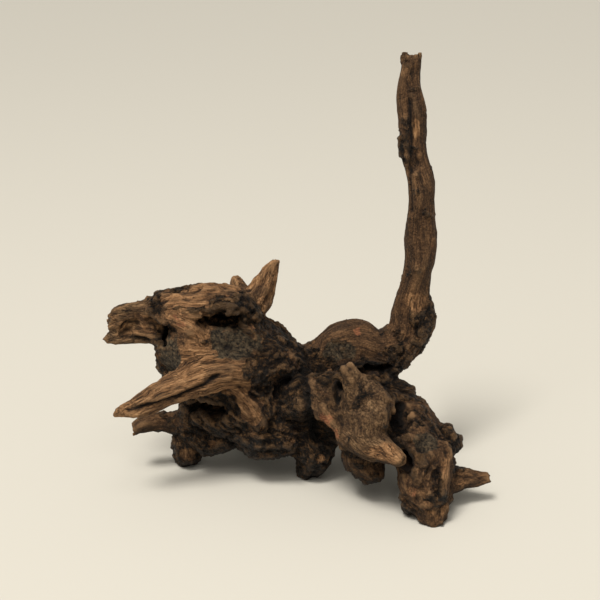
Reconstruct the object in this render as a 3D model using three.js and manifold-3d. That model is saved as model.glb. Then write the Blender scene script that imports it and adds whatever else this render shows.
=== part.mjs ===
// Driftwood: a gnarled root stump with broken prongs, a knotted lump grown against it, and one tall
// bent branch. It grew as one piece, so it is one solid: tapering limbs of oval section joined together,
// with the rot hollows cut into them and the feet worn flat where they stand.
// Millimetres, +Z up, front towards -Y, origin on the floor under the middle of the outline.

import * as THREE from "three";
import { mergeVertices } from "three/addons/utils/BufferGeometryUtils.js";
import Module from "manifold-3d";

// Driving dimensions
const FACET = 9.2; // length of a facet, along and around a limb
const FEWEST_SIDES = 9;
const MOST_SIDES = 28;
const END_DOME = 0.45; // how far a limb's end bulges, as a share of its half width
const THINNEST = 1.2; // least half width of a limb's section
const HOLLOW_SEGMENTS = 12; // segments round a rot hollow
const FLOOR_SIZE = 600; // block below the floor that trims the feet flat
const FLOOR_DEPTH = 40;

// The wood's waves: flutes that run round and along every limb, as [turns round, millimetres along, share].
const WAVES = [
  [2, 19, 0.34],
  [3, -11, 0.28],
  [5, 7, 0.22],
  [4, -5, 0.16],
];

// Knots: slow swells that push the whole root sideways, so that no limb stays straight or round.
// Each is [direction the wave runs, direction it pushes, millimetres a radian, height].
const KNOTS = [
  [[0.8, 0.1, 0.6], [0.2, -0.6, 0.8], 6.5, 1.6],
  [[-0.5, 0.4, 0.8], [0.7, -0.7, 0.1], 7.5, 1.6],
  [[0.3, 0.9, -0.3], [-0.5, 0.2, 0.8], 9, 1.8],
  [[0.9, -0.4, 0.2], [0, -0.9, 0.4], 5, 1.2],
];

// Each limb's stations along its middle line: [x, y, z, half width, half depth].
// Half width lies across the limb as seen from the front, half depth towards the viewer.
// gnarl is the height of the waves, and facing is the way the half depth points where it isn't along Y.
const LIMBS = {
  // the stump
  stump: {
    gnarl: 3,
    stations: [
      [-104, 12, 100, 19.5, 14],
      [-86, 12, 100, 37, 32],
      [-63, 14, 91, 49, 44],
      [-37, 14, 72, 49.5, 48],
      [-13, 8, 59, 40, 42],
      [8, 0, 59, 28, 32],
      [21, -6, 65, 17.5, 20],
    ],
  },
  crown_ridge: {
    gnarl: 1.8,
    stations: [
      [-110, 9, 140, 6.5, 12],
      [-88, 6, 143, 9.5, 20],
      [-67, 4, 145, 10, 25],
      [-48, 5, 143, 9.5, 24],
      [-34, 8, 133, 8, 18],
    ],
  },
  front_rib: {
    gnarl: 1.2,
    stations: [
      [-105, 6, 139, 6.5, 10],
      [-92, -3, 137, 8, 12],
      [-76, -13, 131, 8.5, 12],
      [-69, -18, 122, 8, 10],
    ],
  },
  stump_face: {
    gnarl: 1.6,
    stations: [
      [-97, 0, 109, 14, 12],
      [-82, -14, 112, 19, 13],
      [-65, -15, 112, 20, 13],
      [-46, -6, 112, 18, 12],
      [-31, -4, 105, 13, 10],
    ],
  },
  saddle: {
    gnarl: 1.8,
    stations: [
      [-39, 8, 118, 10.5, 22],
      [-22, 6, 107, 11, 24],
      [-4, 4, 96, 11, 22],
      [13, 6, 89, 8, 14],
    ],
  },
  left_belly: {
    gnarl: 1.8,
    stations: [
      [-83, 8, 33, 10, 16],
      [-68, 6, 31, 14, 22],
      [-50, 6, 36, 11.5, 20],
    ],
  },
  right_belly: {
    gnarl: 1.8,
    stations: [
      [-46, -4, 44, 12, 20],
      [-26, -10, 41, 18.5, 24],
      [-6, -10, 42, 16, 22],
    ],
  },
  middle_web: {
    gnarl: 1.4,
    stations: [
      [6, -6, 55, 18, 16],
      [30, -14, 53, 17, 14],
      [54, -16, 50, 16, 16],
    ],
  },
  rear_ridge: {
    gnarl: 1.4,
    stations: [
      [-78, 40, 118, 12, 16],
      [-48, 50, 108, 15, 18],
      [-18, 42, 88, 13, 16],
      [8, 26, 78, 10, 14],
    ],
  },
  // broken prongs of the stump
  slab: {
    gnarl: 1,
    stations: [
      [-90, 8, 128, 21, 14],
      [-107, 6, 128, 20.5, 10],
      [-125, 6, 128, 18, 8],
      [-136, 6, 127, 15.5, 6],
      [-145, 6, 125, 13, 4.5],
    ],
  },
  slab_upper_tine: {
    gnarl: 0.7,
    stations: [
      [-121, 8, 136, 6.5, 7],
      [-136, 8, 134, 6.5, 6],
      [-148, 8, 128, 3, 3],
    ],
  },
  slab_lower_tine: {
    gnarl: 0.7,
    stations: [
      [-122, 8, 118, 8, 7],
      [-138, 6, 117, 6.5, 5],
      [-153, 4, 114, 2, 2],
    ],
  },
  long_prong: {
    gnarl: 1,
    stations: [
      [-6, -12, 99, 7, 10],
      [-29, -19, 97, 10, 15],
      [-54, -26, 101, 13, 17],
      [-77, -33, 98, 13, 14],
      [-96, -40, 91.5, 10.5, 11],
      [-114, -45, 83.5, 8, 8],
      [-128, -49, 77, 5, 5],
      [-139, -51, 72, 1.5, 2],
    ],
  },
  front_root: {
    gnarl: 1.2,
    stations: [
      [-57, -21, 91, 8, 10],
      [-40, -25, 78, 7, 11],
      [-28, -25, 60, 7, 10],
      [-26, -21, 41, 5.5, 7],
    ],
  },
  low_prong: {
    gnarl: 1,
    stations: [
      [-68, 6, 40, 11.5, 16],
      [-89, 6, 42, 10, 12],
      [-107, 4, 43, 9, 9],
      [-122, 2, 41, 6, 6],
      [-135, 0, 35, 2, 2.5],
    ],
  },
  top_spike: {
    gnarl: 1,
    stations: [
      [-45, 20, 116, 14.5, 18],
      [-37, 26, 133, 14.5, 14],
      [-28, 30, 148, 12.5, 9],
      [-22, 33, 160, 7.5, 6],
      [-16, 35, 171, 3, 3],
    ],
  },
  top_stub: {
    gnarl: 0.6,
    stations: [
      [-47, 40, 135, 8, 10],
      [-47, 44, 144, 6.5, 7],
      [-47, 46, 152, 4.5, 5],
    ],
  },
  rear_prong: {
    gnarl: 1,
    facing: [0, 0, 1],
    stations: [
      [-50, 40, 95, 22, 22],
      [-56, 65, 102, 14, 12],
      [-60, 82, 106, 8, 7],
      [-62, 91, 108, 3.5, 3.5],
    ],
  },
  // feet of the stump
  left_leg: {
    gnarl: 1,
    stations: [
      [-82, 2, 58, 13, 15],
      [-88, 6, 37, 9.5, 12],
      [-90, 12, 17, 10.5, 13],
      [-93, 18, 3, 7.5, 10],
      [-95, 21, -8, 5, 8],
    ],
  },
  middle_foot: {
    gnarl: 1.4,
    stations: [
      [2, -8, 45, 16, 20],
      [13, -9, 28, 18, 19],
      [13, -9, 15, 14, 14],
      [10, -8, 3, 9, 10],
      [8, -7, -8, 6.5, 7],
    ],
  },
  rear_root: {
    gnarl: 1.4,
    stations: [
      [-40, 30, 52, 22, 20],
      [-34, 52, 28, 17, 15],
      [-30, 64, 10, 12, 11],
      [-29, 68, -4, 8, 8],
    ],
  },
  // the branch
  branch_root: {
    gnarl: 1.4,
    stations: [
      [0, 8, 90, 11, 18],
      [20, 10, 97, 12, 17],
      [36, 12, 107, 16, 19],
      [50, 14, 109, 17, 19],
      [66, 16, 102, 13, 17],
      [82, 16, 104, 14.5, 17],
      [90, 16, 111, 9.5, 12],
    ],
  },
  branch: {
    gnarl: 0.8,
    stations: [
      [79, 16, 99, 12, 14],
      [88, 16, 116, 13.5, 15],
      [92, 16, 132, 13, 14.5],
      [95, 17, 152, 12, 13],
      [98, 18, 175, 12, 12.5],
      [99, 20, 202, 11.5, 12],
      [97, 22, 228, 11, 11.5],
      [94, 24, 251, 10.5, 11],
      [89, 26, 274, 10.5, 10.5],
      [87, 28, 301, 9, 9.5],
      [87, 30, 320, 8, 8.5],
      [87, 31, 335, 7, 7],
    ],
  },
  arch_web: {
    gnarl: 1,
    stations: [
      [18, -6, 90, 7, 15],
      [40, -2, 93, 8.5, 16],
      [61, 2, 89, 10.5, 17],
      [75, 2, 82, 8, 14],
    ],
  },
  bark_collar: {
    gnarl: 1,
    stations: [
      [104.5, 16, 138, 2.5, 7],
      [101, 13, 124, 6.5, 11],
      [92, 10, 108, 9, 13],
      [83, 8, 95, 8, 14],
      [78, 4, 86, 5.5, 11],
    ],
  },
  // the knotted lump on the right
  shoulder: {
    gnarl: 1.6,
    stations: [
      [2, -14, 72, 16, 20],
      [17, -34, 83, 14.5, 18],
      [38, -42, 83, 17, 18],
      [59, -42, 77, 12.5, 16],
    ],
  },
  shield_left: {
    gnarl: 1,
    stations: [
      [10, -40, 96, 5.5, 7],
      [20, -44, 89, 10.5, 9],
      [29, -51, 78, 11.5, 11],
      [35, -56, 64, 7, 10],
      [36, -56, 51, 4.5, 8],
    ],
  },
  shield_main: {
    gnarl: 1.2,
    stations: [
      [51, -58, 57, 18.5, 15],
      [54, -59, 73, 16.5, 15],
      [52, -55, 87, 18.5, 12],
      [45, -51, 103, 11, 7],
      [41, -48, 116, 7, 4],
    ],
  },
  shield_burl: {
    gnarl: 0.8,
    stations: [
      [56, -58, 98, 5, 5],
      [65, -60, 95, 5.5, 5],
      [71, -59, 91, 3, 3],
    ],
  },
  shield_stub: {
    gnarl: 1,
    stations: [
      [43, -56, 64, 13.5, 13],
      [55, -65, 58, 13, 14],
      [68, -75, 55, 9, 11],
      [79, -85, 52, 4, 6],
    ],
  },
  right_lump: {
    gnarl: 2.4,
    stations: [
      [39, -8, 67, 19, 22],
      [64, -12, 62, 19, 28],
      [84, -26, 55, 21, 34],
      [97, -44, 41, 21.5, 33],
      [97, -62, 25, 22, 28],
      [99, -74, 13, 19, 21],
      [98, -79, 4, 11.5, 12],
      [96, -81, -7, 6, 7],
    ],
  },
  right_knob: {
    gnarl: 1.2,
    stations: [
      [105, -36, 48, 9.5, 16],
      [118, -36, 43, 11, 17],
      [126, -36, 41, 5.5, 8],
    ],
  },
  right_rib: {
    gnarl: 0.8,
    stations: [
      [112, -57, 51, 5, 8],
      [113, -71, 40, 5.5, 8],
      [111, -80, 26, 5.5, 8],
      [104, -85, 14, 4, 6],
    ],
  },
  right_spike: {
    gnarl: 0.8,
    stations: [
      [109, -56, 23, 11, 14],
      [123, -54, 22, 10, 11],
      [132, -53, 22, 7.5, 8],
      [141, -52, 20, 5.5, 6],
      [152, -51, 18.5, 3.6, 3.5],
    ],
  },
  low_lump: {
    gnarl: 1.4,
    stations: [
      [52, -44, 47, 18, 20],
      [53, -48, 34, 18, 16],
      [56, -50, 24, 14, 12],
      [56, -50, 17, 8, 7],
    ],
  },
  bark_knob: {
    gnarl: 0.8,
    stations: [
      [78, -4, 77, 7, 10],
      [87, -6, 75, 6, 9],
      [94, -6, 73, 3, 5],
    ],
  },
  rear_knob: {
    gnarl: 1.4,
    facing: [0, 0, 1],
    stations: [
      [70, 6, 58, 22, 20],
      [78, 32, 50, 16, 15],
      [82, 47, 45, 7, 7],
    ],
  },
  rear_spur: {
    gnarl: 1.2,
    facing: [0, 0, 1],
    stations: [
      [54, 0, 46, 20, 18],
      [62, 32, 27, 13, 12],
      [68, 56, 13, 5, 5],
    ],
  },
};

// Rot hollows: [x, y, z] of the middle, then the half sizes along x, y and z.
const HOLLOWS = {
  under_prong: [-66, -8, 68, 14, 22, 9],
  under_crown: [-57, -18, 139, 21, 20, 8.5],
  beside_slab: [-100, -3, 124, 5, 13, 9],
  shield_slit: [31, -52, 94, 3.5, 13, 6],
  lump_socket: [80, -47, 68, 9, 20, 12],
  under_stub: [86, -64, 43, 11, 18, 9],
  lump_pit: [97, -72, 62, 10, 10, 8],
  under_arch: [63, -3, 93, 23, 16, 6],
  slab_dish: [-124, -8, 126, 24, 12, 13],
  branch_knot_hole: [91, 13, 257, 2.5, 6, 7],
};

// A smooth curve through the values of two columns or three, read at 0 to 1 along the stations.
function curveThrough(stations, columns) {
  const points = stations.map((row) => new THREE.Vector3(...columns.map((c) => (c === null ? 0 : row[c]))));
  return new THREE.CatmullRomCurve3(points, false, "catmullrom", 0.5);
}

// Height of the waves at an angle round a limb and a length along it.
function waveHeight(angle, along, seed) {
  return WAVES.reduce(
    (sum, [turns, length, share], i) =>
      sum + share * Math.sin(turns * angle + along / length + seed * (i + 1)),
    0,
  );
}

// A point of the smooth root, pushed by the knots.
function knotted(point) {
  const pushed = point.clone();
  KNOTS.forEach(([run, push, length, height], i) => {
    const swell = height * Math.sin(point.dot(new THREE.Vector3(...run)) / length + i);
    pushed.addScaledVector(new THREE.Vector3(...push), swell);
  });
  return pushed;
}

// One limb: oval rings along its middle line, closed by a domed end at each side.
function limbGeometry({ stations, gnarl, facing = [0, 1, 0] }, seed) {
  const middle = curveThrough(stations, [0, 1, 2]);
  const halves = curveThrough(stations, [3, 4, null]);
  const length = middle.getLength();
  const widest = Math.max(...stations.map((row) => Math.max(row[3], row[4])));
  const rings = Math.max(4, Math.round(length / FACET));
  const sides = THREE.MathUtils.clamp(Math.round((2 * Math.PI * widest) / FACET), FEWEST_SIDES, MOST_SIDES);
  const positions = [];
  const faceWay = new THREE.Vector3(...facing);

  for (let ring = 0; ring <= rings; ring++) {
    const t = ring / rings;
    const centre = middle.getPoint(t);
    const tangent = middle.getTangent(t);
    const depthWay = faceWay.clone().addScaledVector(tangent, -faceWay.dot(tangent)).normalize();
    const widthWay = depthWay.clone().cross(tangent);
    const half = halves.getPoint(t);
    for (let side = 0; side < sides; side++) {
      const angle = (2 * Math.PI * side) / sides;
      const wave = gnarl * waveHeight(angle, t * length, seed);
      const point = centre
        .clone()
        .addScaledVector(widthWay, Math.max(half.x + wave, THINNEST) * Math.cos(angle))
        .addScaledVector(depthWay, Math.max(half.y + wave, THINNEST) * Math.sin(angle));
      positions.push(...knotted(point));
    }
  }
  for (const [t, way] of [[0, -1], [1, 1]]) {
    const half = halves.getPoint(t);
    const dome = END_DOME * Math.max(Math.min(half.x, half.y), THINNEST);
    positions.push(...knotted(middle.getPoint(t).addScaledVector(middle.getTangent(t), way * dome)));
  }

  const index = [];
  const firstPole = (rings + 1) * sides;
  for (let side = 0; side < sides; side++) {
    const next = (side + 1) % sides;
    for (let ring = 0; ring < rings; ring++) {
      const [a, b] = [ring * sides + side, ring * sides + next];
      index.push(a, b, a + sides, b, b + sides, a + sides);
    }
    const last = rings * sides;
    index.push(firstPole, next, side, firstPole + 1, last + side, last + next);
  }
  return new THREE.BufferGeometry()
    .setAttribute("position", new THREE.Float32BufferAttribute(positions, 3))
    .setIndex(index);
}

// One rot hollow: an egg with uneven sides.
function hollowGeometry([x, y, z, halfX, halfY, halfZ]) {
  return new THREE.SphereGeometry(1, HOLLOW_SEGMENTS, HOLLOW_SEGMENTS / 2)
    .scale(halfX, halfY, halfZ)
    .translate(x, y, z);
}

const wasm = await Module();
wasm.setup();

// A closed geometry as a solid that can be joined and cut.
function solidOf(geometry) {
  const bare = geometry.clone();
  bare.deleteAttribute("normal");
  bare.deleteAttribute("uv");
  const merged = mergeVertices(bare, 1e-3);
  const corners = merged.index.array;
  const faces = [];
  for (let i = 0; i < corners.length; i += 3) {
    const [a, b, c] = corners.slice(i, i + 3);
    if (a !== b && b !== c && c !== a) faces.push(a, b, c);
  }
  return new wasm.Manifold(
    new wasm.Mesh({
      numProp: 3,
      vertProperties: merged.attributes.position.array,
      triVerts: new Uint32Array(faces),
    }),
  );
}

// A solid back as a geometry to show.
function geometryOf(solid) {
  const { vertProperties, triVerts } = solid.getMesh();
  const geometry = new THREE.BufferGeometry()
    .setAttribute("position", new THREE.BufferAttribute(vertProperties, 3))
    .setIndex(new THREE.BufferAttribute(triVerts, 1));
  geometry.computeVertexNormals();
  return geometry;
}

const limbs = Object.values(LIMBS).map((limb, i) => solidOf(limbGeometry(limb, i + 1)));
const hollows = Object.values(HOLLOWS).map((hollow) => solidOf(hollowGeometry(hollow)));
const belowFloor = solidOf(
  new THREE.BoxGeometry(FLOOR_SIZE, FLOOR_SIZE, FLOOR_DEPTH).translate(0, 0, -FLOOR_DEPTH / 2),
);
const joined = limbs.reduce((whole, limb) => whole.add(limb));
const hollowed = hollows.reduce((whole, hollow) => whole.subtract(hollow), joined);
const bodies = hollowed.subtract(belowFloor).decompose();
// A pocket sealed between limbs is filled: the wood is the largest body by volume.
const standing = bodies.reduce((largest, body) => (body.volume() > largest.volume() ? body : largest));

const wood = new THREE.MeshStandardMaterial({ color: 0x4a3726, roughness: 0.85, metalness: 0 });
const driftwood = new THREE.Mesh(geometryOf(standing), wood);
driftwood.name = "driftwood";

const part = new THREE.Group();
part.add(driftwood);

export default part;
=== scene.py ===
"""Driftwood, dressed: the weathered skin of one gnarled root, in metres, in the frame of its solid."""

import math
from types import SimpleNamespace

import bpy
import numpy as np
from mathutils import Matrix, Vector


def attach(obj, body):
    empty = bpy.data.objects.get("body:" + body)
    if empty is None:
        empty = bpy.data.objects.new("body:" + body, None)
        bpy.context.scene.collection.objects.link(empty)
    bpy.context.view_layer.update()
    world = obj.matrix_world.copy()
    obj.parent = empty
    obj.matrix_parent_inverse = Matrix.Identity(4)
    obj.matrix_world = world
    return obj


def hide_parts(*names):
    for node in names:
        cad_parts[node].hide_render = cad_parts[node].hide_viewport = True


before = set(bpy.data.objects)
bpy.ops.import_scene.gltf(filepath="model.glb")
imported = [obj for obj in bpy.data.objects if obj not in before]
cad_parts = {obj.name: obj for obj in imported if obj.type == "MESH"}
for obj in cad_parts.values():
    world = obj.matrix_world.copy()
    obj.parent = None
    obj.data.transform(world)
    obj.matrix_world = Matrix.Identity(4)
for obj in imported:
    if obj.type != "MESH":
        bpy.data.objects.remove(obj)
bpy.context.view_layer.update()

MM = 0.001
SEED = 7

# Skin
STEP = 1.58  # spacing of the lattice that the skin is drawn from, mm
MARGIN = 9.0  # empty lattice round the root, mm
FAR = 24.0  # depth to which the lattice holds a distance, mm
REACH = FAR * 0.6  # how far past its skin a limb is measured, mm
TINY = 1e-4  # share of an oval's size, about its middle, where its steepness is no guide
BLOCK = 40000  # points measured at a time
RELAX_ROUNDS = 3
BULGE_ROUNDS = 10  # rounds of smoothing that a bulge stands out of
SHELTER_DEPTHS = (3.0, 7.0, 14.0)  # how far out a corner's shelter is felt for, mm

# Limbs, as in the solid
END_DOME = 0.45  # height of a limb's rounded end as a share of its lesser half size
THINNEST = 1.2  # least half size, mm
SAMPLE = 1.6  # spacing of the samples along a limb's middle line, mm
FEWEST_SAMPLES = 8
GRAIN_SHIFT = 97.0  # from one limb's grain to the next one's, so that no two are alike, mm
BACK = (0.0, 1.0, 0.0)
UP = (0.0, 0.0, 1.0)
# Flutes: turns round the limb, length along it in mm, and share of the limb's gnarl
WAVES = ((2, 19, 0.34), (3, -11, 0.28), (5, 7, 0.22), (4, -5, 0.16))
# Knots: the way that each swell runs, the way that it pushes, and its length and height in mm
KNOTS = (
    ((0.8, 0.1, 0.6), (0.2, -0.6, 0.8), 6.5, 1.6),
    ((-0.5, 0.4, 0.8), (0.7, -0.7, 0.1), 7.5, 1.6),
    ((0.3, 0.9, -0.3), (-0.5, 0.2, 0.8), 9.0, 1.8),
    ((0.9, -0.4, 0.2), (0.0, -0.9, 0.4), 5.0, 1.2),
)

# Limb: (gnarl, way its half depth faces, stations of (x, y, z, half width, half depth) in mm)
LIMBS = {
    # the stump
    "stump": (3, BACK, [
        (-104, 12, 100, 19.5, 14), (-86, 12, 100, 37, 32), (-63, 14, 91, 49, 44),
        (-37, 14, 72, 49.5, 48), (-13, 8, 59, 40, 42), (8, 0, 59, 28, 32),
        (21, -6, 65, 17.5, 20),
    ]),
    "crown_ridge": (1.8, BACK, [
        (-110, 9, 140, 6.5, 12), (-88, 6, 143, 9.5, 20), (-67, 4, 145, 10, 25),
        (-48, 5, 143, 9.5, 24), (-34, 8, 133, 8, 18),
    ]),
    "front_rib": (1.2, BACK, [
        (-105, 6, 139, 6.5, 10), (-92, -3, 137, 8, 12), (-76, -13, 131, 8.5, 12),
        (-69, -18, 122, 8, 10),
    ]),
    "stump_face": (1.6, BACK, [
        (-97, 0, 109, 14, 12), (-82, -14, 112, 19, 13), (-65, -15, 112, 20, 13),
        (-46, -6, 112, 18, 12), (-31, -4, 105, 13, 10),
    ]),
    "saddle": (1.8, BACK, [
        (-39, 8, 118, 10.5, 22), (-22, 6, 107, 11, 24), (-4, 4, 96, 11, 22),
        (13, 6, 89, 8, 14),
    ]),
    "left_belly": (1.8, BACK, [
        (-83, 8, 33, 10, 16), (-68, 6, 31, 14, 22), (-50, 6, 36, 11.5, 20),
    ]),
    "right_belly": (1.8, BACK, [
        (-46, -4, 44, 12, 20), (-26, -10, 41, 18.5, 24), (-6, -10, 42, 16, 22),
    ]),
    "middle_web": (1.4, BACK, [
        (6, -6, 55, 18, 16), (30, -14, 53, 17, 14), (54, -16, 50, 16, 16),
    ]),
    "rear_ridge": (1.4, BACK, [
        (-78, 40, 118, 12, 16), (-48, 50, 108, 15, 18), (-18, 42, 88, 13, 16),
        (8, 26, 78, 10, 14),
    ]),
    # broken prongs of the stump
    "slab": (1, BACK, [
        (-90, 8, 128, 21, 14), (-107, 6, 128, 20.5, 10), (-125, 6, 128, 18, 8),
        (-136, 6, 127, 15.5, 6), (-145, 6, 125, 13, 4.5),
    ]),
    "slab_upper_tine": (0.7, BACK, [
        (-121, 8, 136, 6.5, 7), (-136, 8, 134, 6.5, 6), (-148, 8, 128, 3, 3),
    ]),
    "slab_lower_tine": (0.7, BACK, [
        (-122, 8, 118, 8, 7), (-138, 6, 117, 6.5, 5), (-153, 4, 114, 2, 2),
    ]),
    "long_prong": (1, BACK, [
        (-6, -12, 99, 7, 10), (-29, -19, 97, 10, 15), (-54, -26, 101, 13, 17),
        (-77, -33, 98, 13, 14), (-96, -40, 91.5, 10.5, 11), (-114, -45, 83.5, 8, 8),
        (-128, -49, 77, 5, 5), (-139, -51, 72, 1.5, 2),
    ]),
    "front_root": (1.2, BACK, [
        (-57, -21, 91, 8, 10), (-40, -25, 78, 7, 11), (-28, -25, 60, 7, 10),
        (-26, -21, 41, 5.5, 7),
    ]),
    "low_prong": (1, BACK, [
        (-68, 6, 40, 11.5, 16), (-89, 6, 42, 10, 12), (-107, 4, 43, 9, 9),
        (-122, 2, 41, 7.5, 7), (-133, 0, 37, 4.5, 4.5),
    ]),
    "top_spike": (1, BACK, [
        (-45, 20, 116, 14.5, 18), (-37, 26, 133, 14.5, 14), (-28, 30, 148, 12.5, 9),
        (-22, 33, 160, 7.5, 6), (-16, 35, 171, 3, 3),
    ]),
    "top_stub": (0.6, BACK, [
        (-47, 40, 135, 8, 10), (-47, 44, 144, 6.5, 7), (-47, 46, 152, 4.5, 5),
    ]),
    "rear_prong": (1, UP, [
        (-50, 40, 95, 22, 22), (-56, 65, 102, 14, 12), (-60, 82, 106, 8, 7),
        (-62, 91, 108, 3.5, 3.5),
    ]),
    # feet of the stump
    "left_leg": (1, BACK, [
        (-82, 2, 58, 13, 15), (-88, 6, 37, 9.5, 12), (-90, 12, 17, 10.5, 13),
        (-93, 18, 3, 7.5, 10), (-95, 21, -8, 5, 8),
    ]),
    "middle_foot": (1.4, BACK, [
        (2, -8, 45, 16, 20), (13, -9, 28, 18, 19), (13, -9, 15, 14, 14),
        (10, -8, 3, 9, 10), (8, -7, -8, 6.5, 7),
    ]),
    "rear_root": (1.4, BACK, [
        (-40, 30, 52, 22, 20), (-34, 52, 28, 17, 15), (-30, 64, 10, 12, 11),
        (-29, 68, -4, 8, 8),
    ]),
    # the branch
    "branch_root": (1.4, BACK, [
        (0, 8, 90, 11, 18), (20, 10, 97, 12, 17), (36, 12, 107, 16, 19),
        (50, 14, 109, 17, 19), (66, 16, 102, 13, 17), (82, 16, 104, 14.5, 17),
        (90, 16, 111, 9.5, 12),
    ]),
    "branch": (0.8, BACK, [
        (79, 16, 99, 12, 14), (88, 16, 116, 13.5, 15), (92, 16, 132, 13, 14.5),
        (95, 17, 152, 12, 13), (98, 18, 175, 12, 12.5), (99, 20, 202, 11.5, 12),
        (97, 22, 228, 11, 11.5), (94, 24, 251, 10.5, 11), (89, 26, 274, 10.5, 10.5),
        (87, 28, 301, 9.5, 9.5), (87, 30, 320, 8.5, 8.5), (87, 31, 335, 8, 7.5),
    ]),
    "arch_web": (1, BACK, [
        (18, -6, 90, 7, 15), (40, -2, 93, 8.5, 16), (61, 2, 89, 10.5, 17),
        (75, 2, 82, 8, 14),
    ]),
    "bark_collar": (1, BACK, [
        (104.5, 16, 138, 2.5, 7), (101, 13, 124, 6.5, 11), (92, 10, 108, 9, 13),
        (83, 8, 95, 8, 14), (78, 4, 86, 5.5, 11),
    ]),
    # the knotted lump on the right
    "shoulder": (1.6, BACK, [
        (2, -14, 72, 16, 20), (17, -34, 83, 14.5, 18), (38, -42, 83, 17, 18),
        (59, -42, 77, 12.5, 16),
    ]),
    "shield_left": (1, BACK, [
        (10, -40, 96, 5.5, 7), (20, -44, 89, 10.5, 9), (29, -51, 78, 11.5, 11),
        (35, -56, 64, 7, 10), (36, -56, 51, 4.5, 8),
    ]),
    "shield_main": (1.2, BACK, [
        (51, -58, 57, 18.5, 15), (54, -59, 73, 16.5, 15), (52, -55, 87, 18.5, 12),
        (43, -56, 104, 9, 4.5), (36, -57, 118, 4.5, 2.5),
    ]),
    "shield_burl": (0.8, BACK, [
        (56, -58, 98, 5, 5), (65, -60, 95, 5.5, 5), (71, -59, 91, 3, 3),
    ]),
    "shield_stub": (1, BACK, [
        (43, -56, 64, 13.5, 13), (55, -65, 58, 13, 14), (68, -75, 55, 9, 11),
        (79, -85, 52, 4, 6),
    ]),
    "right_lump": (2.4, BACK, [
        (39, -8, 67, 19, 22), (64, -12, 62, 19, 28), (84, -26, 55, 21, 34),
        (97, -44, 41, 21.5, 33), (98, -62, 25, 21, 28), (101, -74, 13, 16.5, 21),
        (102, -79, 4, 10, 12), (101, -81, -7, 6, 7),
    ]),
    "right_knob": (1.2, BACK, [
        (105, -36, 48, 9.5, 16), (118, -36, 43, 11, 17), (126, -36, 41, 5.5, 8),
    ]),
    "right_rib": (0.8, BACK, [
        (112, -57, 51, 5, 8), (113, -71, 40, 5.5, 8), (111, -80, 26, 5.5, 8),
        (104, -85, 14, 4, 6),
    ]),
    "right_spike": (0.8, BACK, [
        (109, -56, 23, 11, 14), (123, -54, 22, 10, 11), (132, -53, 22, 7.5, 8),
        (141, -52, 20, 5.5, 6), (152, -51, 18.5, 3.6, 3.5),
    ]),
    "low_lump": (1.4, BACK, [
        (52, -44, 47, 18, 20), (53, -48, 37, 17.5, 16), (56, -50, 29, 14, 12),
        (56, -50, 23, 8, 7),
    ]),
    "bark_knob": (0.8, BACK, [
        (78, -4, 77, 7, 10), (87, -6, 75, 6, 9), (94, -6, 73, 3, 5),
    ]),
    "rear_knob": (1.4, UP, [
        (70, 6, 58, 22, 20), (78, 32, 50, 16, 15), (82, 47, 45, 7, 7),
    ]),
    "rear_spur": (1.2, UP, [
        (54, 0, 46, 20, 18), (62, 32, 27, 13, 12), (68, 56, 13, 5, 5),
    ]),
}

# Rot hollows: middle, then half sizes along x, y and z, in mm
HOLLOWS = {
    "under_prong": ((-67, -12, 67), (17, 24, 10)),
    "under_crown": ((-57, -18, 138), (18, 20, 7.5)),
    "beside_slab": ((-102, -3, 122), (3.2, 12, 12)),
    "shield_slit": ((33, -54, 94), (4.2, 15, 10)),
    "lump_socket": ((80, -47, 68), (9, 20, 12)),
    "under_stub": ((86, -64, 43), (11, 18, 9)),
    "lump_pit": ((97, -72, 62), (10, 10, 8)),
    "under_arch": ((60, -6, 93), (21, 12, 3.6)),
    "slab_dish": ((-124, -8, 126), (24, 12, 13)),
    "branch_knot_hole": ((91, 13, 257), (3, 7, 8)),
}

# How each limb is finished: bark cover, bare pale wood, grey weathering, height in mm of the fibres, the
# strands and the crags, how far its colour runs in fibres, and how wide it melts into its neighbours in mm.
# A limb that FINISHES leaves out has the crust.
CRUST = dict(bark=0.8, bare=0.12, grey=0.1, fibre=0.9, strand=1.9, crag=1.9, fibrous=0.4, merge=4.5)
SHELL = dict(bark=0.35, bare=0.12, grey=0.7, fibre=0.3, strand=0.3, crag=1.1, fibrous=0.1, merge=5.0)
PALE = dict(bark=0.12, bare=0.72, grey=0.25, fibre=0.6, strand=0.9, crag=0.8, fibrous=1.0, merge=9.0)
FACE = dict(bark=0.3, bare=0.5, grey=0.2, fibre=0.45, strand=0.6, crag=1.4, fibrous=0.38, merge=10.0)
GREY = dict(bark=0.15, bare=0.35, grey=0.85, fibre=0.6, strand=0.6, crag=0.5, fibrous=1.0, merge=6.0)
ROD = dict(bark=0.25, bare=0.15, grey=0.2, fibre=0.3, strand=0.3, crag=0.5, fibrous=0.6, merge=8.0)
MOTTLE = dict(bark=0.38, bare=0.14, grey=0.3, fibre=0.6, strand=1.0, crag=1.8, fibrous=0.35, merge=4.5)
CLOD = dict(bark=0.75, bare=0.1, grey=0.1, fibre=0.3, strand=0.3, crag=2.2, fibrous=0.15, merge=4.5)
RELIEF_AND_COLOUR = ("bark", "bare", "grey", "fibre", "strand", "crag", "fibrous")
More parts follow.
